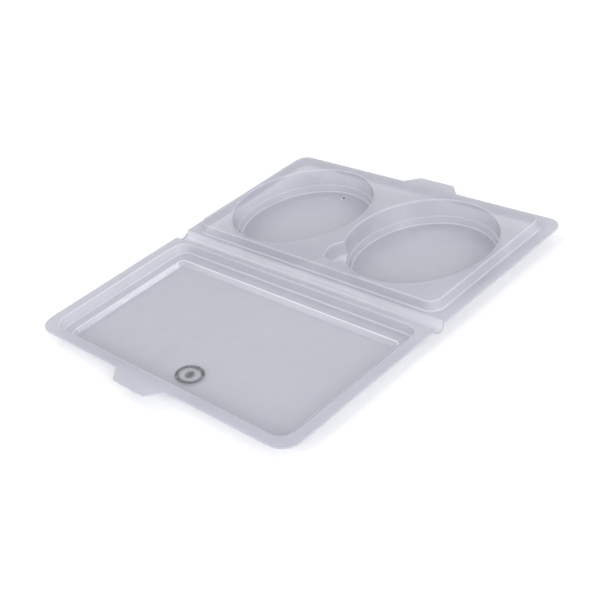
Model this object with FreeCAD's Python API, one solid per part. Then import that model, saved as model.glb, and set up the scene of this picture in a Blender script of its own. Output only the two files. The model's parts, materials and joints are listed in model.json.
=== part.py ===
import FreeCAD, Part
import math
import os

# Clear folding case for a pair of contact lens packs, thermoformed from one sheet of plastic.
# Millimetres, +Z up. The case lies open on a table, z = 0. The fold line runs along X at y = 0:
# the base, with its raised deck and two round wells, lies on the +Y side, and the lid on the -Y side.
# Each node is one formed zone of the sheet, and neighbouring zones meet face to face.

SHEET = 0.5  # thickness of the formed sheet

# Heights of the top face of each zone above the table
FLOOR_TOP = SHEET
FLANGE_TOP = 4.9
DECK_TOP = FLANGE_TOP + 3.0
LEDGE_TOP = FLANGE_TOP - 3.1
WELL_STEP_TOP = 2.7
NOTCH_FLOOR_TOP = 3.9

# Rounded rectangles: half width, edge near the fold, edge far from it, and their corner radii
BASE_FLANGE = (50.0, 1.9, 54.5, 0.8, 4.2)
LID_FLANGE = (50.0, 1.9, 54.1, 0.8, 5.0)
DECK_FOOT = (46.2, 3.5, 50.7, 3.6, 3.6)
DECK_RIM = (45.9, 3.75, 50.5, 3.4, 3.4)
RECESS_MOUTH = (46.6, 3.1, 51.1, 4.0, 4.4)
RECESS_FOOT = (46.3, 3.4, 50.9, 3.8, 4.2)
WINDOW_MOUTH = (42.9, 7.0, 49.7, 1.6, 3.2)
WINDOW_FOOT = (41.9, 8.0, 49.1, 1.2, 2.8)

# Two round wells and the finger notch in the rim of the right one
WELL_X, WELL_Y = 22.9, 26.5
WELL_RIM_R = 21.5
WELL_STEP_R = 21.1
WELL_STEP_IN_R = 20.8
WELL_FLOOR_R = 20.5
NOTCH_X, NOTCH_Y = 7.0, 12.2
NOTCH_RIM_R = 4.8
NOTCH_FLOOR_R = 4.2

# Small raised pip left by a vent hole of the mould
PIP_X, PIP_Y = -23.4, 43.9
PIP_R = 0.55
PIP_HEIGHT = 0.35

# Pull tabs, one on each flange, staggered so that both can be gripped when the case is shut
LID_TAB_X = -2.9
BASE_TAB_X = 3.0
TAB_ROOT_WIDTH = 20.3
TAB_TIP_WIDTH = 12.4
LID_TAB_REACH = 4.1
BASE_TAB_REACH = 3.7
TAB_CORNER_R = 0.8

# Living hinge: a sunk half-round bead of two leaves along the fold line
BEAD_HALF_WIDTH = 1.9
BEAD_DEPTH = 1.5
BEAD_R = (BEAD_HALF_WIDTH**2 + BEAD_DEPTH**2) / (2 * BEAD_DEPTH)
PIVOT_RISE = 0.1  # the folding lines lie this far above the sheet's top face

# Generic printed mark: an oval ring round a dot
MARK_X, MARK_Y = 2.2, -43.0
MARK_WIDTH = 9.0
MARK_DEPTH = 7.0
MARK_STROKE = 1.0
MARK_DOT_R = 1.3
INK = 0.06

BASE, LID = 1, -1  # side of the fold line that a zone lies on
UP = FreeCAD.Vector(0, 0, 1)


def save(shape, name):
    """Writes one node, after making sure that it is closed and valid."""
    for solid in shape.Solids:
        if not solid.isValid() or solid.Volume <= 0:
            raise ValueError(name + " is not a valid solid")
    shape.exportStep("parts/" + name + ".step")


def outline(side, shape, z):
    """A rounded rectangle as a closed wire at height z, on one side of the fold line."""
    half, near, far, near_r, far_r = shape
    corners = []
    for x_sign, edge, radius, inward in (
        (1, near, near_r, 1),
        (1, far, far_r, -1),
        (-1, far, far_r, -1),
        (-1, near, near_r, 1),
    ):
        centre_x, centre_y = x_sign * (half - radius), edge + inward * radius
        reach = radius * math.sqrt(0.5)
        on_edge = FreeCAD.Vector(centre_x, side * edge, z)
        on_side = FreeCAD.Vector(x_sign * half, side * centre_y, z)
        middle = FreeCAD.Vector(centre_x + x_sign * reach, side * (centre_y - inward * reach), z)
        first, last = (on_edge, on_side) if x_sign == inward else (on_side, on_edge)
        corners.append((first, middle, last))
    edges = []
    for corner, following in zip(corners, corners[1:] + corners[:1]):
        edges.append(Part.Arc(*corner).toShape())
        edges.append(Part.LineSegment(corner[2], following[0]).toShape())
    return Part.Wire(edges)


def grown(shape, by):
    """The same rounded rectangle with every edge moved outwards."""
    half, near, far, near_r, far_r = shape
    return (half + by, near - by, far + by, near_r + by, far_r + by)


def plate(side, shape, top):
    """A flat zone of the sheet."""
    return Part.Face(outline(side, shape, top - SHEET)).extrude(UP * SHEET)


def block(side, low_shape, low, high_shape, high):
    """A solid block whose outline changes evenly from its low end to its high end."""
    wires = [outline(side, low_shape, low), outline(side, high_shape, high)]
    return Part.makeLoft(wires, True, True)


def wall(side, low_shape, low, high_shape, high, outwards):
    """A drafted wall round two outlines: the sheet lies outside them, or inside them."""
    by = SHEET if outwards else -SHEET
    given = block(side, low_shape, low, high_shape, high)
    moved = block(side, grown(low_shape, by), low, grown(high_shape, by), high)
    return moved.cut(given) if outwards else given.cut(moved)


def tab(side, centre_x, edge, reach):
    """A flat pull tab that widens towards the flange's edge, with rounded tip corners."""
    root, tip = TAB_ROOT_WIDTH / 2, TAB_TIP_WIDTH / 2
    points = [
        FreeCAD.Vector(centre_x + x, side * y, FLANGE_TOP - SHEET)
        for x, y in ((-root, edge), (root, edge), (tip, edge + reach), (-tip, edge + reach))
    ]
    solid = Part.Face(Part.makePolygon(points + points[:1])).extrude(UP * SHEET)
    tip_edges = [
        e
        for e in solid.Edges
        if abs(e.Vertexes[0].Z - e.Vertexes[1].Z) > SHEET / 2
        and abs(e.Vertexes[0].Y) > edge + reach / 2
    ]
    return solid.makeFillet(TAB_CORNER_R, tip_edges)


def bead_rod(radius):
    """A round rod along the fold line, centred on the bead's own axis."""
    half = BASE_FLANGE[0]
    centre = FreeCAD.Vector(-half, 0, FLANGE_TOP - BEAD_DEPTH + BEAD_R)
    return Part.makeCylinder(radius, 2 * half, centre, FreeCAD.Vector(1, 0, 0))


def hinge_leaf(side):
    """One side of the sunk bead: it runs up beside the flange's edge and under the flange."""
    half, reach = BASE_FLANGE[0], 2 * BEAD_R
    under_flange = FLANGE_TOP - SHEET
    space = None
    for width, top in ((BEAD_HALF_WIDTH, FLANGE_TOP), (reach, under_flange)):
        corner = FreeCAD.Vector(-half, 0 if side == BASE else -width, under_flange - reach)
        box = Part.makeBox(2 * half, width, top - corner.z, corner)
        space = box if space is None else space.fuse(box)
    return bead_rod(BEAD_R + SHEET).cut(bead_rod(BEAD_R)).common(space).removeSplitter()


def cone(x, y, low_r, low, high_r, high):
    """A drafted round plug, standing on the height given as low."""
    base = FreeCAD.Vector(x, y, low)
    if abs(low_r - high_r) < 1e-9:
        return Part.makeCylinder(low_r, high - low, base)
    return Part.makeCone(low_r, high_r, high - low, base)


def well_space(x, by=0.0):
    """The round hollow above a well's step, or with by = SHEET the outside of its upper wall."""
    top = DECK_TOP - SHEET
    return cone(x, WELL_Y, WELL_STEP_R + by, WELL_STEP_TOP, WELL_RIM_R + by, top)


def notch_space(by=0.0):
    """The finger notch's hollow, or with by = SHEET its outside, down to its own floor's underside."""
    top = DECK_TOP - SHEET
    return cone(NOTCH_X, NOTCH_Y, NOTCH_FLOOR_R + by, NOTCH_FLOOR_TOP - by, NOTCH_RIM_R + by, top)


def well_wall(x):
    return well_space(x, SHEET).cut(well_space(x))


def well_step(x):
    """The narrow step at the foot of the upper wall and the short wall from it down round the floor."""
    high, under = WELL_STEP_TOP, WELL_STEP_TOP - SHEET
    foot = cone(x, WELL_Y, WELL_FLOOR_R + SHEET, 0, WELL_FLOOR_R + SHEET, FLOOR_TOP)
    outer = cone(x, WELL_Y, WELL_FLOOR_R + SHEET, FLOOR_TOP, WELL_STEP_IN_R + SHEET, under)
    shelf = cone(x, WELL_Y, WELL_STEP_R + SHEET, under, WELL_STEP_R + SHEET, high)
    inner = cone(x, WELL_Y, WELL_FLOOR_R, FLOOR_TOP, WELL_STEP_IN_R, high)
    return foot.fuse(outer).fuse(shelf).cut(inner).cut(well_floor(x)).removeSplitter()


def well_floor(x):
    return cone(x, WELL_Y, WELL_FLOOR_R, 0, WELL_FLOOR_R, FLOOR_TOP)


def base_flange():
    opening = block(BASE, grown(DECK_FOOT, -SHEET), 0, grown(DECK_FOOT, -SHEET), DECK_TOP)
    return plate(BASE, BASE_FLANGE, FLANGE_TOP).cut(opening)


def base_skirt():
    return wall(BASE, DECK_FOOT, FLANGE_TOP, DECK_RIM, DECK_TOP - SHEET, False)


def base_deck():
    """The raised deck, with an opening over each well and over the finger notch."""
    low = DECK_TOP - SHEET
    solid = plate(BASE, DECK_RIM, DECK_TOP)
    for x in (-WELL_X, WELL_X):
        solid = solid.cut(cone(x, WELL_Y, WELL_RIM_R, low, WELL_RIM_R, DECK_TOP))
    return solid.cut(cone(NOTCH_X, NOTCH_Y, NOTCH_RIM_R, low, NOTCH_RIM_R, DECK_TOP))


def finger_notch():
    """The notch's own wall and floor, as far as the outside of the well's wall."""
    return notch_space(SHEET).cut(notch_space()).cut(well_space(WELL_X, SHEET))


def vent_pip():
    return Part.makeCylinder(PIP_R, PIP_HEIGHT, FreeCAD.Vector(PIP_X, PIP_Y, FLOOR_TOP))


def lid_flange():
    low = FLANGE_TOP - SHEET
    opening = block(LID, RECESS_MOUTH, low, RECESS_MOUTH, FLANGE_TOP)
    return plate(LID, LID_FLANGE, FLANGE_TOP).cut(opening)


def lid_rim_wall():
    return wall(LID, RECESS_FOOT, LEDGE_TOP, RECESS_MOUTH, FLANGE_TOP - SHEET, True)


def lid_ledge():
    opening = block(LID, WINDOW_MOUTH, 0, WINDOW_MOUTH, FLANGE_TOP)
    return plate(LID, grown(RECESS_FOOT, SHEET), LEDGE_TOP).cut(opening)


def lid_window_wall():
    return wall(LID, WINDOW_FOOT, FLOOR_TOP, WINDOW_MOUTH, LEDGE_TOP - SHEET, True)


def lid_window():
    return plate(LID, grown(WINDOW_FOOT, SHEET), FLOOR_TOP)


def oval(half_width, half_depth):
    ellipse = Part.Ellipse(FreeCAD.Vector(MARK_X, MARK_Y, FLOOR_TOP), half_width, half_depth)
    return Part.Face(Part.Wire(ellipse.toShape())).extrude(UP * INK)


def printed_mark():
    ring = oval(MARK_WIDTH / 2, MARK_DEPTH / 2)
    ring = ring.cut(oval(MARK_WIDTH / 2 - MARK_STROKE, MARK_DEPTH / 2 - MARK_STROKE))
    dot = Part.makeCylinder(MARK_DOT_R, INK, FreeCAD.Vector(MARK_X, MARK_Y, FLOOR_TOP))
    return Part.makeCompound([ring, dot])


def build():
    nodes = {
        "base_flange": base_flange(),
        "base_pull_tab": tab(BASE, BASE_TAB_X, BASE_FLANGE[2], BASE_TAB_REACH),
        "base_skirt": base_skirt(),
        "base_deck": base_deck(),
        "finger_notch": finger_notch(),
        "vent_pip": vent_pip(),
        "hinge_leaf_base": hinge_leaf(BASE),
        "hinge_leaf_lid": hinge_leaf(LID),
        "lid_flange": lid_flange(),
        "lid_pull_tab": tab(LID, LID_TAB_X, LID_FLANGE[2], LID_TAB_REACH),
        "lid_rim_wall": lid_rim_wall(),
        "lid_ledge": lid_ledge(),
        "lid_window_wall": lid_window_wall(),
        "lid_window": lid_window(),
        "printed_mark": printed_mark(),
    }
    for name, x in (("left_well", -WELL_X), ("right_well", WELL_X)):
        nodes[name + "_wall"] = well_wall(x)
        nodes[name + "_step"] = well_step(x)
        nodes[name + "_floor"] = well_floor(x)
    nodes["right_well_wall"] = nodes["right_well_wall"].cut(notch_space())
    return nodes


def print_fold():
    """Prints the folding lines and the turn at each of them that shuts the case."""
    edge_turn = math.degrees(math.atan2(BEAD_DEPTH, BEAD_HALF_WIDTH))
    print("edge pivots: y = +-%.2f, z = %.2f" % (BEAD_HALF_WIDTH, FLANGE_TOP + PIVOT_RISE))
    print("bead pivot: y = 0, z = %.2f" % (FLANGE_TOP - BEAD_DEPTH + PIVOT_RISE))
    print("edge turn %.4f deg, bead turn %.4f deg" % (edge_turn, 180 - 2 * edge_turn))


os.makedirs("parts", exist_ok=True)
for node_name, node_shape in build().items():
    save(node_shape, node_name)
    print("%-18s solids %d volume %.2f" % (node_name, len(node_shape.Solids), node_shape.Volume))
print_fold()
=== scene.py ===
import json
import math

import bmesh
import bpy
import numpy as np
from mathutils import Matrix, Vector

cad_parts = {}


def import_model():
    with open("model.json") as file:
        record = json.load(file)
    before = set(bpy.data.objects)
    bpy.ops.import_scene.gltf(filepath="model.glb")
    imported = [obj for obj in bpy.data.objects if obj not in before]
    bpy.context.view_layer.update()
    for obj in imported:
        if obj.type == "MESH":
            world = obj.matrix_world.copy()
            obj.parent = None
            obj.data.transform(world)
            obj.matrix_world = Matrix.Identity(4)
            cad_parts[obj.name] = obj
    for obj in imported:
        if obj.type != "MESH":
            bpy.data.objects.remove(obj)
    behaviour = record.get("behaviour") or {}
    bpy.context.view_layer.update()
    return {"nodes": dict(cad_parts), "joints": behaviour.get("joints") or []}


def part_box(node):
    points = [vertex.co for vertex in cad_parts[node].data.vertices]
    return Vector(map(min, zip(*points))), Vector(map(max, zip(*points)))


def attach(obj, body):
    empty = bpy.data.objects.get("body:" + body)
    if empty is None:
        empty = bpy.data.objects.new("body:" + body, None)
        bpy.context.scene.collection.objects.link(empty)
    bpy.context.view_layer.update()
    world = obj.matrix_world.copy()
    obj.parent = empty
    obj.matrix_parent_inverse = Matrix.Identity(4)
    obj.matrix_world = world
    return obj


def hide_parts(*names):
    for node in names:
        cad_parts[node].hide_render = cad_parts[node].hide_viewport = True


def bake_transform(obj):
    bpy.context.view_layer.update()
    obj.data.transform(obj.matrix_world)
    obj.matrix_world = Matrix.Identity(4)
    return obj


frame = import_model()

# Looks for the clear folding case: a thin formed shell for each rigid half, a hinge bead that bends
# between them, the vent pip and the printed mark. Metres, in the frame of the CAD model.

MM = 0.001
BASE, LID = 1, -1  # side of the fold line that a zone lies on


def low(node):
    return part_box(node)[0]


def high(node):
    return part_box(node)[1]


# Heights and thickness, from the CAD nodes
SHEET = high("lid_window").z - low("lid_window").z
FLOOR_TOP = high("lid_window").z
FLANGE_TOP = high("base_flange").z
DECK_TOP = high("base_deck").z
LEDGE_TOP = high("lid_ledge").z
WELL_STEP_TOP = high("left_well_step").z
NOTCH_FLOOR_TOP = low("finger_notch").z + SHEET

# Corner radii of the rounded rectangles, near the fold and far from it
BASE_FLANGE_R = 4.2 * MM
LID_FLANGE_R = 5.0 * MM
DECK_FOOT_R = (3.6 * MM, 3.6 * MM)
DECK_RIM_R = (3.4 * MM, 3.4 * MM)
RECESS_MOUTH_R = (4.0 * MM, 4.4 * MM)
RECESS_FOOT_R = (3.8 * MM, 4.2 * MM)
WINDOW_MOUTH_R = (1.6 * MM, 3.2 * MM)
WINDOW_FOOT_R = (1.2 * MM, 2.8 * MM)

# Pull tabs
TAB_ROOT = 20.3 * MM
TAB_TIP = 12.4 * MM
TAB_R = 0.8 * MM

# Radii where two faces of the formed sheet meet
FOOT_FILLET = 0.40 * MM
RIM_FILLET = 0.36 * MM
STEP_FILLET = 0.12 * MM
FLOOR_FILLET = 0.35 * MM
BEAD_FILLET = 0.55 * MM
NOTCH_RIM_R = 4.8 * MM
NOTCH_FLOOR_R = 4.2 * MM
NOTCH_BLEND_R = 0.9 * MM  # where the notch's wall runs into the well's

# Vent pip: its flared foot, and the rows of its dome as shares of a quarter turn
PIP_FOOT_R = 1.0 * MM
PIP_FOOT_RISE = 0.01 * MM
PIP_ROWS = (0.1, 0.3, 0.5, 0.7, 0.95)

# Bead: the shells stop this far beyond the folding lines, and strips along the fold take over
SEAM_GAP = 0.5 * MM
SEAM_CORNER_R = 4.0 * MM  # where a flange's side runs in to the seam
NICK_DEPTH = 0.55 * MM
NICK_WIDTH = 0.35 * MM

# Material slots of the formed pieces, in the order of sheet_plastics. The edge slot holds painted
# shade, the bend and crease slots painted highlights.
FLAT_SLOT, EDGE_SHADE_SLOT, BEND_HIGHLIGHT_SLOT, CREASE_HIGHLIGHT_SLOT = range(4)

MERGE_DISTANCE = 0.001 * MM
SHARP_ANGLE = math.radians(40)  # edges that turn more than this stay crisp
FLAT_FACE_WEIGHT = 80  # how strongly large faces decide the shading

# How many faces each curve is made of
CORNER_STEPS = 10
FILLET_STEPS = 5
WELL_STEPS = 96
NOTCH_STEPS = 14
BLEND_STEPS = 4
MOUTH_STEPS = 10
BEAD_SIDE_STEPS = 8
BEAD_MIDDLE_STEPS = 6
PIP_STEPS = 32


def towards(point, corner):
    """The step from a corner towards a station, per metre of width and height together."""
    step = point - corner
    return step / math.hypot(step[0], step[-1])


def rounded(stations, radii):
    """Curves of these radii in place of the inner corners of a path of stations."""
    path = []
    for before, corner, after, radius in zip(stations, stations[1:], stations[2:], radii):
        to_before, to_after = towards(before, corner), towards(after, corner)
        cosine = to_before[0] * to_after[0] + to_before[-1] * to_after[-1]
        turn = math.pi - math.acos(max(-1.0, min(1.0, cosine)))
        reach, pull = radius * math.tan(turn / 2), math.cos(turn / 2)
        first, last = corner + to_before * reach, corner + to_after * reach
        for i in range(FILLET_STEPS + 1):
            u = i / FILLET_STEPS
            weights = (1 - u) ** 2, 2 * u * (1 - u) * pull, u * u
            point = first * weights[0] + corner * weights[1] + last * weights[2]
            path.append(point / sum(weights))
    return path


def rectangle(node, side, corner_radii, inset=0.0):
    """Half width, near edge, far edge and corner radii of a node's rounded rectangle."""
    low_y, high_y = low(node).y, high(node).y
    near, far = (low_y, high_y) if side == BASE else (-high_y, -low_y)
    return np.array((high(node).x - inset, near + inset, far - inset, *corner_radii))


# How an outline's numbers change when it grows: rounded rectangle, circle, well with its notch
RECTANGLE_GROWTH = np.array((1, -1, 1, 1, 1))
CIRCLE_GROWTH = np.array((1,))
NOTCHED_GROWTH = np.array((1, 1, -1))


def at(outline, z):
    """A station: an outline's numbers with its height as the last one."""
    return np.append(outline, z)


def underside(stations, growth):
    """The same path on the sheet's other face, with every corner moved square to both its sides."""
    squares = []
    for start, end in zip(stations, stations[1:]):
        across, up = towards(end, start)[[0, -1]]
        squares.append(np.array((-up, across)))
    squares = [squares[0], *squares, squares[-1]]
    moved = []
    for corner, before, after in zip(stations, squares, squares[1:]):
        aside, drop = SHEET * (before + after) / (1 + before @ after)
        moved.append(corner + np.append(growth * aside, drop))
    return moved


def face_of_sheet(stations, growth, under):
    """The stations of the top face, or of the underside."""
    return underside(stations, growth) if under else stations


def rectangle_ring(bm, side, station):
    """A ring of vertices round the rounded rectangle of a station."""
    half, near, far, near_r, far_r, z = station
    ring = []
    corners = (
        (half - near_r, near + near_r, near_r, -90),
        (half - far_r, far - far_r, far_r, 0),
        (far_r - half, far - far_r, far_r, 90),
        (near_r - half, near + near_r, near_r, 180),
    )
    for x, y, radius, start in corners:
        for i in range(CORNER_STEPS + 1):
            angle = math.radians(start + 90 * i / CORNER_STEPS)
            place = (x + radius * math.cos(angle), side * (y + radius * math.sin(angle)), z)
            ring.append(bm.verts.new(place))
    return ring


def bridge(bm, rings, *bends):
    """Faces between rings. Each bend's rings get its slot, and the walls between bends are flat."""
    for step, (outer, inner) in enumerate(zip(rings, rings[1:])):
        run, place = divmod(step, FILLET_STEPS + 1)
        slot = bends[run] if run < len(bends) and place < FILLET_STEPS else FLAT_SLOT
        for i in range(len(outer)):
            face = bm.faces.new((outer[i - 1], outer[i], inner[i], inner[i - 1]))
            face.material_index = slot


def ring_edges(bm, ring):
    edges = []
    for a, b in zip(ring, ring[1:] + ring[:1]):
        edges.append(bm.edges.get((a, b)) or bm.edges.new((a, b)))
    return edges


def fill(bm, *rings, slot=FLAT_SLOT):
    """A flat zone inside the first ring and outside the others."""
    edges = [edge for ring in rings for edge in ring_edges(bm, ring)]
    made = bmesh.ops.triangle_fill(bm, use_beauty=True, use_dissolve=False, edges=edges)
    for item in made["geom"]:
        if isinstance(item, bmesh.types.BMFace):
            item.material_index = slot


# ---- hinge bead -------------------------------------------------------------------------------

base_edge = next(joint for joint in frame["joints"] if joint["name"] == "bead_base_edge")
BEAD_HALF_WIDTH = abs(base_edge["pos_m"][1])
BEAD_DEPTH = FLANGE_TOP - SHEET - low("hinge_leaf_base").z
BEAD_R = (BEAD_HALF_WIDTH**2 + BEAD_DEPTH**2) / (2 * BEAD_DEPTH)
SEAM_Y = BEAD_HALF_WIDTH + SEAM_GAP
HALF_WIDTH = high("hinge_leaf_base").x


def half_width_at(y):
    """The sheet's half width near the fold, with a small nick beside each folding line."""
    off = (abs(y) - BEAD_HALF_WIDTH) / NICK_WIDTH
    return HALF_WIDTH - NICK_DEPTH * math.exp(-off * off)


def bead_profile():
    """Top line of the bead from the base's seam to the lid's, with the places where strips meet."""
    centre_z = FLANGE_TOP - BEAD_DEPTH + BEAD_R
    edge_angle = math.asin(BEAD_HALF_WIDTH / BEAD_R)
    edge = np.array((BEAD_HALF_WIDTH, FLANGE_TOP))
    down_bead = edge - np.array((math.cos(edge_angle), math.sin(edge_angle)))
    half = [np.array((SEAM_Y, FLANGE_TOP))]
    half += rounded([edge + np.array((1.0, 0.0)), edge, down_bead], [BEAD_FILLET])
    first = edge_angle - BEAD_FILLET * math.tan(edge_angle / 2) / BEAD_R
    split = math.asin(BEAD_HALF_WIDTH / 2 / BEAD_R)
    side_shares = [i / BEAD_SIDE_STEPS for i in range(1, BEAD_SIDE_STEPS + 1)]
    middle_shares = [i / BEAD_MIDDLE_STEPS for i in range(1, BEAD_MIDDLE_STEPS + 1)]
    angles = [first + (split - first) * share for share in side_shares]
    angles += [split * (1 - share) for share in middle_shares]
    for angle in angles:
        half.append(np.array((BEAD_R * math.sin(angle), centre_z - BEAD_R * math.cos(angle))))
    profile = half + [point * np.array((-1, 1)) for point in reversed(half[:-1])]
    split_at, last = len(half) - 1 - BEAD_MIDDLE_STEPS, len(profile) - 1
    return profile, (0, split_at, last - split_at, last)


def offset_profile(profile):
    """The underside's line: every point moved by the sheet's thickness, square to the line."""
    under = []
    for i, point in enumerate(profile):
        before, after = profile[max(i - 1, 0)], profile[min(i + 1, len(profile) - 1)]
        along = (after - before) / np.linalg.norm(after - before)
        under.append(point + SHEET * np.array((-along[1], along[0])))
    return under


def bead_strip(name, top, under):
    """A strip of sheet along the fold, closed at its two ends and open where it meets others."""
    bm = bmesh.new()
    rows = []
    for points in (top, under):
        grid = []
        for upper, (y, z) in zip(top, points):
            end = half_width_at(upper[0])
            inner = HALF_WIDTH - 2 * NICK_DEPTH
            grid.append([bm.verts.new((x, y, z)) for x in (-end, -inner, inner, end)])
        rows.append(grid)
    # Top and underside get the bend slot: a painted highlight over the whole bead.
    for grid in rows:
        for a, b in zip(grid, grid[1:]):
            for i in range(3):
                face = bm.faces.new((a[i], a[i + 1], b[i + 1], b[i]))
                face.material_index = BEND_HIGHLIGHT_SLOT
    for a, b, c, d in zip(rows[0], rows[0][1:], rows[1][1:], rows[1]):
        for i in (0, 3):
            bm.faces.new((a[i], b[i], c[i], d[i]))
    bmesh.ops.recalc_face_normals(bm, faces=bm.faces)
    return new_piece(name, bm)


# ---- making pieces ----------------------------------------------------------------------------


def new_piece(name, bm):
    """Turns a bmesh into an object with smooth shading."""
    mesh = bpy.data.meshes.new(name)
    bm.to_mesh(mesh)
    bm.free()
    mesh.polygons.foreach_set("use_smooth", [True] * len(mesh.polygons))
    piece = bpy.data.objects.new(name, mesh)
    bpy.context.scene.collection.objects.link(piece)
    return piece


def formed_shell(name, bm):
    """Turns the two faces of a formed sheet into an object with crisp edges and even shading."""
    bmesh.ops.remove_doubles(bm, verts=bm.verts, dist=MERGE_DISTANCE)
    bmesh.ops.recalc_face_normals(bm, faces=bm.faces)
    shell = new_piece(name, bm)
    dress(shell)
    shell.data.set_sharp_from_angle(angle=SHARP_ANGLE)
    weighted = shell.modifiers.new("normals", "WEIGHTED_NORMAL")
    weighted.mode = "FACE_AREA_WITH_ANGLE"
    weighted.weight = FLAT_FACE_WEIGHT
    weighted.keep_sharp = True
    evaluated = shell.evaluated_get(bpy.context.evaluated_depsgraph_get())
    mesh = bpy.data.meshes.new_from_object(evaluated)
    shell.modifiers.clear()
    shell.data = mesh
    return shell


def close_rim(bm, top_edge, under_edge):
    """The cut edge round a half. It stays open at the seam, from the last point to the first."""
    # The cut edge gets painted shade, a darker line along the sheet's edge.
    for a, b, c, d in zip(top_edge, top_edge[1:], under_edge[1:], under_edge):
        bm.faces.new((a, b, c, d)).material_index = EDGE_SHADE_SLOT


def flange_ring(bm, side, flange, tab, corner_r, z):
    """The outer edge of a half: its rounded far corners and its pull tab, up to the bead's seam."""
    half, far = high(flange).x, abs(high(flange).y if side == BASE else low(flange).y)
    centre = (low(tab).x + high(tab).x) / 2
    tip = abs(high(tab).y if side == BASE else low(tab).y)
    seam_x = half_width_at(SEAM_Y)
    corners = (
        (seam_x, SEAM_Y, 0),
        (half, SEAM_Y + SEAM_GAP, SEAM_CORNER_R),
        (half, far, corner_r),
        (centre + TAB_ROOT / 2, far, TAB_R),
        (centre + TAB_TIP / 2, tip, TAB_R),
        (centre - TAB_TIP / 2, tip, TAB_R),
        (centre - TAB_ROOT / 2, far, TAB_R),
        (-half, far, corner_r),
        (-half, SEAM_Y + SEAM_GAP, SEAM_CORNER_R),
        (-seam_x, SEAM_Y, 0),
    )
    stations = [np.array(corner[:2]) for corner in corners]
    path = rounded(stations, [corner[2] for corner in corners[1:-1]])
    path = [stations[0]] + path + [stations[-1]]
    return [bm.verts.new((x, side * y, z)) for x, y in path]


# ---- base -------------------------------------------------------------------------------------


def well_centre(name):
    return (low(name).x + high(name).x) / 2, (low(name).y + high(name).y) / 2


def well_radii(name):
    """Radii of a well at its rim, at its step's outer and inner edge and at its floor."""
    rim = (high(name + "_wall").y - low(name + "_wall").y) / 2 - SHEET
    step = (high(name + "_step").y - low(name + "_step").y) / 2 - SHEET
    floor = (high(name + "_floor").y - low(name + "_floor").y) / 2
    return rim, step, (step + floor) / 2, floor


def circle_ring(bm, centre, radius, z, angles):
    x, y = centre
    return [bm.verts.new((x + radius * math.cos(a), y + radius * math.sin(a), z)) for a in angles]


def well_corners(radii):
    """Radius and height from a well's rim down over the step to the middle of its floor."""
    rim, step, step_in, floor = radii
    corners = (
        (rim, DECK_TOP),
        (step, WELL_STEP_TOP),
        (step_in, WELL_STEP_TOP),
        (floor, FLOOR_TOP),
        (0.0, FLOOR_TOP),
    )
    return [np.array(corner) for corner in corners]


def left_well(bm, under):
    """The plain round well. Returns its ring on the deck."""
    radii = well_radii("left_well")
    centre = well_centre("left_well_floor")
    angles = [2 * math.pi * i / WELL_STEPS for i in range(WELL_STEPS)]
    corners = [np.array((2 * radii[0], DECK_TOP)), *well_corners(radii)]
    corners = face_of_sheet(corners, CIRCLE_GROWTH, under)
    path = rounded(corners, (RIM_FILLET, STEP_FILLET, STEP_FILLET, FLOOR_FILLET))
    rings = [circle_ring(bm, centre, radius, z, angles) for radius, z in path]
    # Painted highlights round the well's rim, step edges and floor edge.
    bridge(bm, rings, *[BEND_HIGHLIGHT_SLOT] * 4)
    fill(bm, rings[-1])
    return rings[0]


class NotchedWell:
    """The outline of the well with its finger notch, in polar terms round the two centres."""

    def __init__(self):
        self.well = Vector(well_centre("right_well_floor"))
        corner = low("finger_notch")
        self.notch = Vector((corner.x, corner.y)) + Vector((1, 1)) * (NOTCH_RIM_R + SHEET)
        self.apart = (self.notch - self.well).length
        self.ahead = (self.notch - self.well) / self.apart
        self.aside = Vector((-self.ahead.y, self.ahead.x))

    def place(self, ahead, aside):
        return self.well + self.ahead * ahead + self.aside * aside

    def blend_centre(self, well_r, notch_r, blend_r):
        """Centre of the small arc that touches both circles from outside."""
        to_well, to_notch = well_r + blend_r, notch_r + blend_r
        ahead = (self.apart**2 + to_well**2 - to_notch**2) / (2 * self.apart)
        return ahead, math.sqrt(to_well**2 - ahead**2)

    def well_angle(self, well_r, notch_r, blend_r):
        """Half the angle, seen from the well's centre, of the gap where the notch opens."""
        ahead, aside = self.blend_centre(well_r, notch_r, blend_r)
        return math.atan2(aside, ahead)

    def outline(self, well_r, notch_r, blend_r):
        """Points round the well, then round the notch, with small arcs where the two meet."""
        ahead, aside = self.blend_centre(well_r, notch_r, blend_r)
        gap = math.atan2(aside, ahead)
        notch_turn = math.atan2(aside, ahead - self.apart)
        to_notch = math.atan2(-aside, self.apart - ahead)
        to_well = math.atan2(-aside, -ahead)
        points = []
        for i in range(WELL_STEPS + 1):
            angle = gap + (2 * math.pi - 2 * gap) * i / WELL_STEPS
            points.append(self.place(well_r * math.cos(angle), well_r * math.sin(angle)))
        blend = []
        for i in range(1, BLEND_STEPS):
            angle = to_notch + (to_well - to_notch) * i / BLEND_STEPS
            blend.append((ahead + blend_r * math.cos(angle), aside + blend_r * math.sin(angle)))
        points += [self.place(a, -b) for a, b in reversed(blend)]
        for i in range(NOTCH_STEPS + 1):
            angle = notch_turn * (2 * i / NOTCH_STEPS - 1)
            along = self.apart + notch_r * math.cos(angle)
            points.append(self.place(along, notch_r * math.sin(angle)))
        points += [self.place(a, b) for a, b in blend]
        return points

    def circle(self, well_r, gap):
        """A whole circle: first the points that match the outline's, then those across the gap."""
        angles = [gap + (2 * math.pi - 2 * gap) * i / WELL_STEPS for i in range(WELL_STEPS + 1)]
        angles += [gap * (2 * i / MOUTH_STEPS - 1) for i in range(1, MOUTH_STEPS)]
        return [self.place(well_r * math.cos(a), well_r * math.sin(a)) for a in angles]


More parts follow.
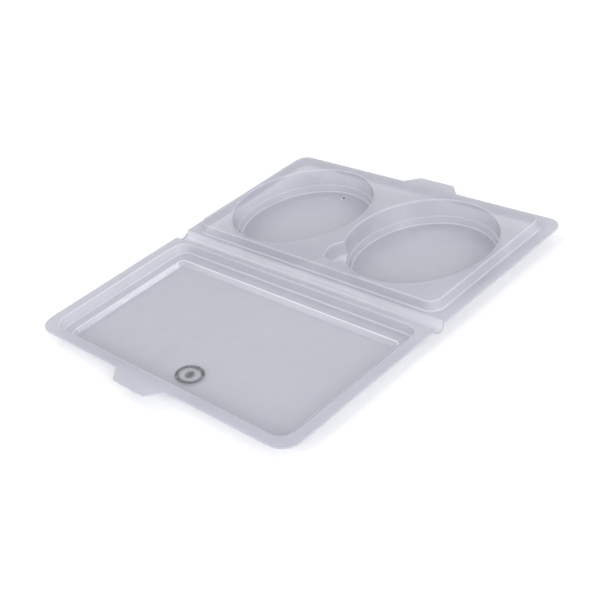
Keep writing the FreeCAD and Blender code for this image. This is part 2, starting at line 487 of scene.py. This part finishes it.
def right_well(bm, under):
    """The round well whose wall opens into the finger notch. Returns its ring on the deck."""
    radii = well_radii("right_well")
    shape = NotchedWell()
    share = (DECK_TOP - NOTCH_FLOOR_TOP) / (DECK_TOP - WELL_STEP_TOP)
    mouth_r = radii[0] + (radii[1] - radii[0]) * share
    rim = at((radii[0], NOTCH_RIM_R, NOTCH_BLEND_R), DECK_TOP)
    foot = at((mouth_r, NOTCH_FLOOR_R, NOTCH_BLEND_R + radii[0] - mouth_r), NOTCH_FLOOR_TOP)
    flat = at(NOTCHED_GROWTH * MM, 0)
    corners = face_of_sheet([rim + flat, rim, foot, foot - flat], NOTCHED_GROWTH, under)[:3]
    foot = corners[-1]
    upper = []
    for well_r, notch_r, blend_r, z in rounded(corners, [RIM_FILLET]) + [foot]:
        points = shape.outline(well_r, notch_r, blend_r)
        upper.append([bm.verts.new((p.x, p.y, z)) for p in points])
    # Painted highlight round the rim of the well and notch.
    bridge(bm, upper, BEND_HIGHLIGHT_SLOT)

    gap = shape.well_angle(*foot[:3])
    arc, notch_part = upper[-1][: WELL_STEPS + 1], upper[-1][WELL_STEPS + 1 :]
    across = shape.circle(foot[0], gap)[WELL_STEPS + 1 :]
    across = [bm.verts.new((p.x, p.y, foot[-1])) for p in across]
    notch_floor = [arc[-1]] + notch_part + [arc[0]] + across[::-1]
    # Painted highlight: the notch's floor is a bright patch.
    bm.faces.new(notch_floor).material_index = CREASE_HIGHLIGHT_SLOT

    lower = []
    corners = face_of_sheet(well_corners(radii), CIRCLE_GROWTH, under)
    for radius, z in rounded(corners, (STEP_FILLET, STEP_FILLET, FLOOR_FILLET)):
        lower.append([bm.verts.new((p.x, p.y, z)) for p in shape.circle(radius, gap)])
    bridge(bm, [arc + across, lower[0]])
    # Painted highlights round the step edges and the floor edge.
    bridge(bm, lower, *[BEND_HIGHLIGHT_SLOT] * 3)
    fill(bm, lower[-1])
    return upper[0]


def base_shell():
    """Flange, pull tab, skirt, deck, both wells and the notch as one formed sheet."""
    bm = bmesh.new()
    foot = rectangle("base_skirt", BASE, DECK_FOOT_R)
    rim = rectangle("base_deck", BASE, DECK_RIM_R)
    flat = RECTANGLE_GROWTH * MM
    corners = (
        at(foot + flat, FLANGE_TOP),
        at(foot, FLANGE_TOP),
        at(rim, DECK_TOP),
        at(rim - flat, DECK_TOP),
    )
    edges = []
    for under in (False, True):
        path = rounded(face_of_sheet(corners, RECTANGLE_GROWTH, under), (FOOT_FILLET, RIM_FILLET))
        rings = [rectangle_ring(bm, BASE, station) for station in path]
        # Painted highlights round the deck's foot and rim.
        bridge(bm, rings, BEND_HIGHLIGHT_SLOT, BEND_HIGHLIGHT_SLOT)
        z = FLANGE_TOP - SHEET * under
        edges.append(flange_ring(bm, BASE, "base_flange", "base_pull_tab", BASE_FLANGE_R, z))
        # The flange gets painted shade.
        fill(bm, edges[-1], rings[0], slot=EDGE_SHADE_SLOT)
        fill(bm, rings[-1], left_well(bm, under), right_well(bm, under))
    close_rim(bm, *edges)
    shell = formed_shell("base_shell", bm)
    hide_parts("base_flange", "base_pull_tab", "base_skirt", "base_deck", "finger_notch")
    for well in ("left_well", "right_well"):
        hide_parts(well + "_wall", well + "_step", well + "_floor")
    return shell


# ---- lid --------------------------------------------------------------------------------------


def lid_shell():
    """Flange, pull tab, recess and window as one formed sheet."""
    bm = bmesh.new()
    recess_mouth = rectangle("lid_rim_wall", LID, RECESS_MOUTH_R, SHEET)
    recess_foot = rectangle("lid_ledge", LID, RECESS_FOOT_R, SHEET)
    window_mouth = rectangle("lid_window_wall", LID, WINDOW_MOUTH_R, SHEET)
    window_foot = rectangle("lid_window", LID, WINDOW_FOOT_R, SHEET)
    flat = RECTANGLE_GROWTH * MM
    corners = (
        at(recess_mouth + flat, FLANGE_TOP),
        at(recess_mouth, FLANGE_TOP),
        at(recess_foot, LEDGE_TOP),
        at(window_mouth, LEDGE_TOP),
        at(window_foot, FLOOR_TOP),
        at(window_foot - flat, FLOOR_TOP),
    )
    fillets = (RIM_FILLET, FOOT_FILLET, RIM_FILLET, FLOOR_FILLET)
    edges = []
    for under in (False, True):
        path = rounded(face_of_sheet(corners, RECTANGLE_GROWTH, under), fillets)
        rings = [rectangle_ring(bm, LID, station) for station in path]
        # Painted highlights round the recess's mouth and foot and, brightest, round the window's
        # mouth; painted shade round the window's foot.
        bridge(bm, rings, BEND_HIGHLIGHT_SLOT, BEND_HIGHLIGHT_SLOT, CREASE_HIGHLIGHT_SLOT, EDGE_SHADE_SLOT)
        z = FLANGE_TOP - SHEET * under
        edges.append(flange_ring(bm, LID, "lid_flange", "lid_pull_tab", LID_FLANGE_R, z))
        # The flange gets painted shade.
        fill(bm, edges[-1], rings[0], slot=EDGE_SHADE_SLOT)
        fill(bm, rings[-1])
    close_rim(bm, *edges)
    shell = formed_shell("lid_shell", bm)
    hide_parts("lid_flange", "lid_pull_tab", "lid_rim_wall", "lid_ledge")
    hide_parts("lid_window_wall", "lid_window")
    return shell


# ---- small pieces -----------------------------------------------------------------------------


def vent_pip():
    """A low dome with a flared foot, left by the mould's vent hole."""
    bottom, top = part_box("vent_pip")
    radius, height = (top.x - bottom.x) / 2, top.z - bottom.z
    centre = ((top.x + bottom.x) / 2, (top.y + bottom.y) / 2)
    angles = [2 * math.pi * i / PIP_STEPS for i in range(PIP_STEPS)]
    bm = bmesh.new()
    rings = [circle_ring(bm, centre, PIP_FOOT_R, bottom.z + PIP_FOOT_RISE, angles)]
    for share in PIP_ROWS:
        turn = share * math.pi / 2
        place = radius * math.cos(turn), bottom.z + height * math.sin(turn)
        rings.append(circle_ring(bm, centre, *place, angles))
    bridge(bm, rings)
    # The flared foot keeps slot 0; the dome and its top take slot 1, the pip's painted dark.
    for face in list(bm.faces)[len(angles) :]:
        face.material_index = 1
    bm.faces.new(rings[-1]).material_index = 1
    bmesh.ops.recalc_face_normals(bm, faces=bm.faces)
    pip = new_piece("vent_pip_dome", bm)
    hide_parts("vent_pip")
    return pip


# ---- materials --------------------------------------------------------------------------------

SHEET_TINT = (0.855, 0.86, 0.88, 1)  # what one face of the sheet lets through
EDGE_SHADE_TINT = (0.74, 0.745, 0.78, 1)  # less, as painted shade on the flanges, the cut edges and round the window's foot
HAZE_COLOUR = (0.745, 0.757, 0.82, 1)
BEND_HIGHLIGHT_COLOUR = (0.795, 0.805, 0.865, 1)
CREASE_HIGHLIGHT_COLOUR = (0.90, 0.91, 0.95, 1)
GLOW_SHARE = 0.2  # share of the haze that light from behind passes through
SHEET_HAZE = 0.40
EDGE_SHADE_HAZE = 0.45
BEND_HIGHLIGHT_HAZE = 0.47  # painted highlight: the bend copy is lighter round the rounded corners and over the whole bead
CREASE_HIGHLIGHT_HAZE = 0.65  # brightest painted highlight: round the window's mouth, on the notch's floor and round the pip's foot
HAZE_SPREAD = 0.15  # how much the haze varies in soft clouds
MIRROR_HEAD_ON = 0.035  # share of light that one face mirrors head on; it rises towards grazing
MIRROR_POWER = 5.0

# Noise scales, per metre
CLOUD_SCALE = 35.0
GLOSS_SCALE = 500.0
INK_SCALE = 900.0
PIP_SCALE = 1500.0
FLOOR_SCALE = 3.0

# Bumps: noise scale and detail, strength, depth
WAVES = (70.0, 3.0, 0.25, 0.10 * MM)
SCUFFS = (1800.0, 5.0, 0.03, 0.03 * MM)
INK_GRAIN = (2500.0, 3.0, 0.3, 0.05 * MM)

NOISE_MIDDLE = (0.3, 0.7)  # most of a noise lies between these
GLOSS_ROUGHNESS = (0.10, 0.18)
INK_DARK = (0.10, 0.10, 0.105, 1)
INK_THIN = (0.22, 0.22, 0.23, 1)
INK_ROUGHNESS = 0.55
PIP_PAINTED_GREYS = (0.10, 0.20)
PIP_ROUGHNESS = 0.2
FLOOR_SHADES = (0.93, 0.95)


class Nodes:
    """A short way to add and link shader nodes."""

    def __init__(self, name):
        self.material = bpy.data.materials.new(name)
        self.material.use_nodes = True
        self.tree = self.material.node_tree
        self.tree.nodes.clear()

    def add(self, kind, values=None, **settings):
        node = self.tree.nodes.new("ShaderNode" + kind)
        for key, value in settings.items():
            setattr(node, key, value)
        for key, value in (values or {}).items():
            self.put(node, key, value)
        return node

    def put(self, node, key, value):
        """Sets a socket to a plain value, or links it from another socket."""
        if isinstance(value, bpy.types.NodeSocket):
            self.tree.links.new(value, node.inputs[key])
        else:
            node.inputs[key].default_value = value

    def noise(self, scale, detail=3.0):
        place = self.add("TexCoord").outputs["Object"]
        inputs = {"Vector": place, "Scale": scale, "Detail": detail}
        return self.add("TexNoise", inputs).outputs["Fac"]

    def spread(self, value, low_end, high_end):
        """Maps the middle of a noise onto a range."""
        source = {"Value": value, "From Min": NOISE_MIDDLE[0], "From Max": NOISE_MIDDLE[1]}
        inputs = {**source, "To Min": low_end, "To Max": high_end}
        return self.add("MapRange", inputs).outputs["Result"]

    def bump(self, scale, detail, strength, depth):
        height = self.noise(scale, detail)
        return self.add("Bump", {"Height": height, "Strength": strength, "Distance": depth})

    def grey(self, value):
        """A colour that is the same value in all three channels."""
        return self.add("CombineColor", {0: value, 1: value, 2: value}).outputs[0]

    def finish(self, shader):
        self.add("OutputMaterial", {"Surface": shader.outputs[0]})
        return self.material


def clear_plastic(name, tint, haze_colour, haze_share):
    """Clear formed plastic: a faint violet-grey tint, a little haze, wavy gloss and fine scuffs."""
    n = Nodes(name)
    waves = n.bump(*WAVES)
    scuffs = n.bump(*SCUFFS)
    n.put(scuffs, "Normal", waves.outputs["Normal"])
    normal = scuffs.outputs["Normal"]
    through = n.add("BsdfTransparent", {"Color": tint})
    body = n.add("BsdfDiffuse", {"Color": haze_colour, "Normal": normal})
    glow = n.add("BsdfTranslucent", {"Color": haze_colour, "Normal": normal})
    haze = n.add("MixShader", {0: GLOW_SHARE, 1: body.outputs[0], 2: glow.outputs[0]})
    least, most = (1 - HAZE_SPREAD) * haze_share, (1 + HAZE_SPREAD) * haze_share
    cloud = n.spread(n.noise(CLOUD_SCALE), least, most)
    sheet = n.add("MixShader", {0: cloud, 1: through.outputs[0], 2: haze.outputs[0]})
    roughness = n.spread(n.noise(GLOSS_SCALE), *GLOSS_ROUGHNESS)
    gloss = n.add("BsdfGlossy", {"Roughness": roughness, "Normal": normal})
    grazing = n.add("LayerWeight", {"Blend": 0.5, "Normal": normal}).outputs["Facing"]
    rise = n.add("Math", {0: grazing, 1: MIRROR_POWER}, operation="POWER").outputs[0]
    shares = {0: rise, 1: 1 - MIRROR_HEAD_ON, 2: MIRROR_HEAD_ON}
    mirror = n.add("Math", shares, operation="MULTIPLY_ADD").outputs[0]
    return n.finish(n.add("MixShader", {0: mirror, 1: sheet.outputs[0], 2: gloss.outputs[0]}))


def dress(piece):
    """Gives a formed piece the plastics of its slots."""
    for plastic in sheet_plastics:
        piece.data.materials.append(plastic)


def print_ink():
    """Dark grey pad print, thinner in specks. Sockets 6 and 7 of the mix are its two colours."""
    n = Nodes("print_ink")
    shade = n.spread(n.noise(INK_SCALE), 0.0, 1.0)
    ramp = n.add("Mix", {0: shade, 6: INK_DARK, 7: INK_THIN}, data_type="RGBA")
    grain = n.bump(*INK_GRAIN).outputs[0]
    ink = {"Base Color": ramp.outputs[2], "Roughness": INK_ROUGHNESS, "Normal": grain}
    return n.finish(n.add("BsdfPrincipled", ink))


def pip_painted_dark():
    """Painted shade: the vent pip bends light so strongly that it looks dark, so it is drawn opaque
    dark grey.
    """
    n = Nodes("pip_painted_dark")
    colour = n.grey(n.spread(n.noise(PIP_SCALE), *PIP_PAINTED_GREYS))
    return n.finish(n.add("BsdfPrincipled", {"Base Color": colour, "Roughness": PIP_ROUGHNESS}))


# ---- stage ------------------------------------------------------------------------------------


FLOOR_HALF_SIZE = 3.0
FLOOR_DROP = 0.1 * MM  # the ground lies this far below the case
WORLD_STRENGTH = 0.68

# Square lamps that look at the middle of the case: place, side and power in watts
LAMPS = {
    "right": ((0.85, -0.30, 0.38), 0.5, 4.5),
    "front": ((-0.1, -0.9, 0.5), 0.5, 2.6),
    "left_front": ((-0.50, -0.48, 0.34), 0.2, 0.3),
    "left": ((-0.60, 0.0, 0.66), 0.25, 0.8),
    "back": ((0.12, 0.47, 0.76), 0.25, 0.8),
    "right_back": ((0.59, 0.39, 0.54), 0.15, 0.5),
}


def floor():
    """A pale studio ground."""
    bm = bmesh.new()
    bmesh.ops.create_grid(bm, x_segments=8, y_segments=8, size=FLOOR_HALF_SIZE)
    ground = new_piece("studio_floor", bm)
    ground.location.z = -FLOOR_DROP
    n = Nodes("studio_floor")
    colour = n.grey(n.spread(n.noise(FLOOR_SCALE), *FLOOR_SHADES))
    matt = n.add("BsdfDiffuse", {"Color": colour, "Roughness": 0.5})
    ground.data.materials.append(n.finish(matt))


def world():
    """Even white light from everywhere."""
    sky = bpy.data.worlds.new("studio")
    sky.use_nodes = True
    background = sky.node_tree.nodes["Background"]
    background.inputs["Color"].default_value = (1.0, 1.0, 1.0, 1)
    background.inputs["Strength"].default_value = WORLD_STRENGTH
    bpy.context.scene.world = sky


def softbox(name, place, size, power):
    lamp = bpy.data.lights.new(name, "AREA")
    lamp.size = size
    lamp.energy = power
    holder = bpy.data.objects.new(name, lamp)
    holder.location = place
    holder.rotation_euler = (-Vector(place)).to_track_quat("-Z", "Y").to_euler()
    bpy.context.scene.collection.objects.link(holder)


CAMERA_PLACE = Vector((204.286, -161.827, 161.689)) * MM
CAMERA_TARGET = Vector((9.732, -8.519, 4.9)) * MM
CAMERA_LENS = 66.433
SENSOR_WIDTH = 36
CAMERA_ROLL = math.radians(13.4135)  # its upper side leans to its right


def camera():
    lens = bpy.data.cameras.new("camera")
    lens.lens = CAMERA_LENS
    lens.sensor_width = SENSOR_WIDTH
    lens.clip_start = 0.01
    lens.clip_end = 10
    eye = bpy.data.objects.new("camera", lens)
    aim = (CAMERA_TARGET - CAMERA_PLACE).to_track_quat("-Z", "Y").to_matrix()
    turn = Matrix.Rotation(-CAMERA_ROLL, 3, "Z")
    eye.matrix_world = Matrix.Translation(CAMERA_PLACE) @ (aim @ turn).to_4x4()
    bpy.context.scene.collection.objects.link(eye)
    bpy.context.scene.camera = eye


# ---- the scene --------------------------------------------------------------------------------

# The sheet's plastic and three copies: the edge copy paints shade, the bend and crease copies paint
# highlights.
sheet_plastics = (
    clear_plastic("clear_sheet", SHEET_TINT, HAZE_COLOUR, SHEET_HAZE),
    clear_plastic("clear_edge_shade", EDGE_SHADE_TINT, HAZE_COLOUR, EDGE_SHADE_HAZE),
    clear_plastic("clear_bend_highlight", SHEET_TINT, BEND_HIGHLIGHT_COLOUR, BEND_HIGHLIGHT_HAZE),
    clear_plastic("clear_crease_highlight", SHEET_TINT, CREASE_HIGHLIGHT_COLOUR, CREASE_HIGHLIGHT_HAZE),
)
ink = print_ink()

for shell, body in ((base_shell(), "base"), (lid_shell(), "lid")):
    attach(shell, body)

top_line, ends = bead_profile()
under_line = offset_profile(top_line)
strips = (
    ("bead_base_strip", "base", "bead_base_side"),
    ("bead_middle_strip", "bead_base_side", "bead_lid_side"),
    ("bead_lid_strip", "bead_lid_side", "lid"),
)
for (name, first_body, last_body), first, last in zip(strips, ends, ends[1:]):
    strip = bead_strip(name, top_line[first : last + 1], under_line[first : last + 1])
    dress(strip)
    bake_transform(strip)
    if name == "bead_base_strip":
        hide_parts("hinge_leaf_base")
    if name == "bead_lid_strip":
        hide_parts("hinge_leaf_lid")

pip = vent_pip()
# Slot 0, the crease copy: a painted highlight ring round the pip's foot. Slot 1: the pip's painted
# dark.
pip.data.materials.append(sheet_plastics[CREASE_HIGHLIGHT_SLOT])
pip.data.materials.append(pip_painted_dark())
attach(pip, "base")

mark = frame["nodes"]["printed_mark"]
mark.data.materials.clear()
mark.data.materials.append(ink)

floor()
world()
for name, (place, size, power) in LAMPS.items():
    softbox(name, place, size, power)
camera()
bpy.context.scene.view_settings.view_transform = "Standard"
